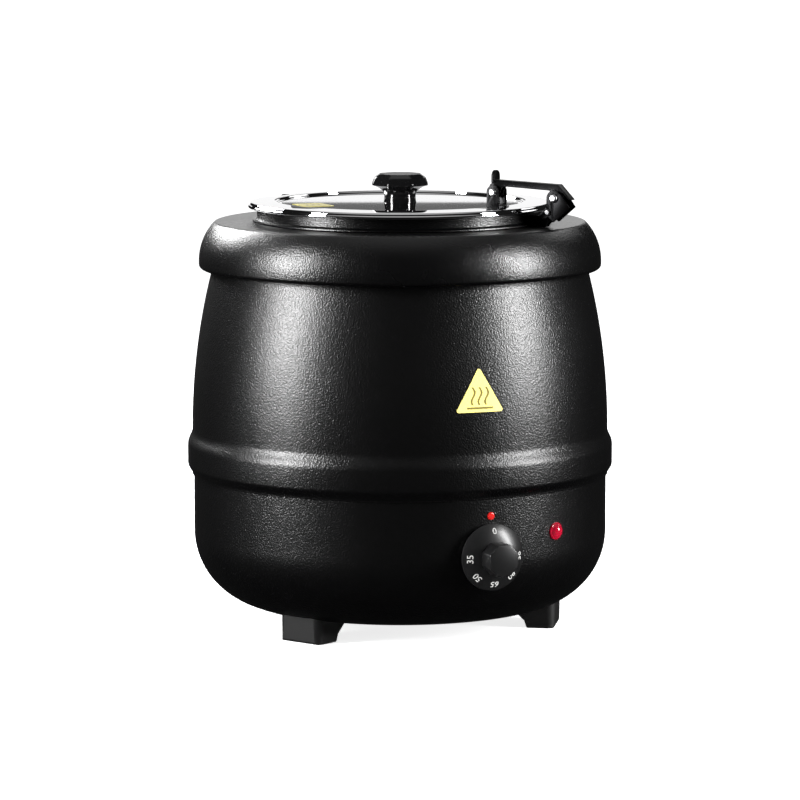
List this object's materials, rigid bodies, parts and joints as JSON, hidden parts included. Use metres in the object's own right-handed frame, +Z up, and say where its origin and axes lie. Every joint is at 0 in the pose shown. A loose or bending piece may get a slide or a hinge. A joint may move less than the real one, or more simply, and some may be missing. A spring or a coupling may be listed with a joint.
{
  "type": "soup kettle",
  "caption": "Countertop wet-heat soup kettle with lift-out pot, hinged ladle-notch lid on a riser ring, thermostat dial and pilot lamp.",
  "frame": {"origin": "on the ground under the kettle's upright axis, in the plane of the feet", "axes": "+Z up, the thermostat dial faces -Y, the lid hinge is 36 degrees from -Y towards +X"},
  "size_m": [0.3401, 0.3675, 0.3669],
  "materials": {
    "painted_steel": "black textured powder coat, slightly glossy",
    "stainless": "satin stainless sheet",
    "mirror_steel": "mirror-polished stainless sheet",
    "hinge_steel": "dark nickel-plated steel",
    "rivet_steel": "bright plated steel",
    "bakelite": "black moulded thermoset, polished",
    "dial_plastic": "black moulded plastic, satin",
    "red_lens": "clear red moulded lens",
    "red_paint": "red enamel",
    "foot_plastic": "black moulded plastic",
    "black_plastic": "black nylon",
    "zinc_steel": "zinc-plated steel",
    "brass": "turned brass",
    "ceramic_block": "white thermoset",
    "heater_sheath": "heat-tinted sheath",
    "copper_tube": "drawn copper tube",
    "wire_cover": "silicone insulation",
    "label_yellow": "printed vinyl, yellow with a black border"
  },
  "bodies": {
    "base": {"lower_shell": "painted_steel", "upper_shell": "painted_steel", "top_collar": "painted_steel", "water_well": "stainless", "thermostat_body": "ceramic_block", "thermostat_screws": "zinc_steel", "index_dot": "red_paint", "lamp_lens": "red_lens", "lamp_housing": "black_plastic", "caution_label": "label_yellow", "heating_element": "heater_sheath", "heater_clamp_plate": "zinc_steel", "heater_stud": "zinc_steel", "heater_nut": "zinc_steel", "heater_washer": "zinc_steel", "thermal_cutout": "ceramic_block", "capillary_tube": "copper_tube", "bulb_clips": "zinc_steel", "terminal_block": "ceramic_block", "earth_stud": "brass", "wiring": "wire_cover", "cord_gland": "black_plastic", "gland_nut": "black_plastic", "bottom_cover": "zinc_steel", "cover_screws": "zinc_steel", "foot_1": "foot_plastic", "foot_2": "foot_plastic", "foot_3": "foot_plastic", "foot_screws": "zinc_steel", "foot_nuts": "zinc_steel"},
    "pot": {"soup_pot": "stainless"},
    "ring": {"lid_ring": "painted_steel", "hinge_bracket": "hinge_steel", "hinge_bracket_rivet": "rivet_steel"},
    "link": {"hinge_link": "hinge_steel", "arm_pin": "rivet_steel", "link_pin": "rivet_steel"},
    "arm": {"hinge_arm": "hinge_steel"},
    "lid": {"lid": "mirror_steel", "lid_knob": "bakelite", "knob_insert": "brass", "lid_knob_screw": "zinc_steel", "lid_knob_washer": "zinc_steel", "lid_bracket": "rivet_steel", "lid_bracket_rivet": "rivet_steel", "lid_pin": "rivet_steel", "lid_label": "label_yellow"},
    "dial": {"control_knob": "dial_plastic", "thermostat_shaft": "zinc_steel"}
  },
  "joints": [
    {"name": "ring_lift", "type": "slide", "parent": "base", "child": "ring", "axis": [0, 0, 1], "range_m": [0, 0.34]},
    {"name": "pot_lift", "type": "slide", "parent": "base", "child": "pot", "axis": [0, 0, 1], "range_m": [0, 0.272]},
    {"name": "link_pivot", "type": "hinge", "parent": "ring", "child": "link", "pos_m": [0.07935, -0.10922, 0.3355], "axis": [0.809, 0.5878, 0], "range_deg": [0, 45]},
    {"name": "arm_pivot", "type": "hinge", "parent": "link", "child": "arm", "pos_m": [0.08229, -0.11326, 0.3468], "axis": [0.809, 0.5878, 0], "range_deg": [0, 55]},
    {"name": "lid_pivot", "type": "hinge", "parent": "arm", "child": "lid", "pos_m": [0.05114, -0.07038, 0.3498], "axis": [0.809, 0.5878, 0], "range_deg": [-8.25, 0]},
    {"name": "dial_turn", "type": "hinge", "parent": "base", "child": "dial", "pos_m": [0, -0.17, 0.077], "axis": [0, 1, 0], "range_deg": [0, 270]}
  ],
  "couplings": [
    {"joint": "pot_lift", "follows": "ring_lift", "ratio": 0.8},
    {"joint": "lid_pivot", "follows": "arm_pivot", "ratio": -0.15}
  ]
}
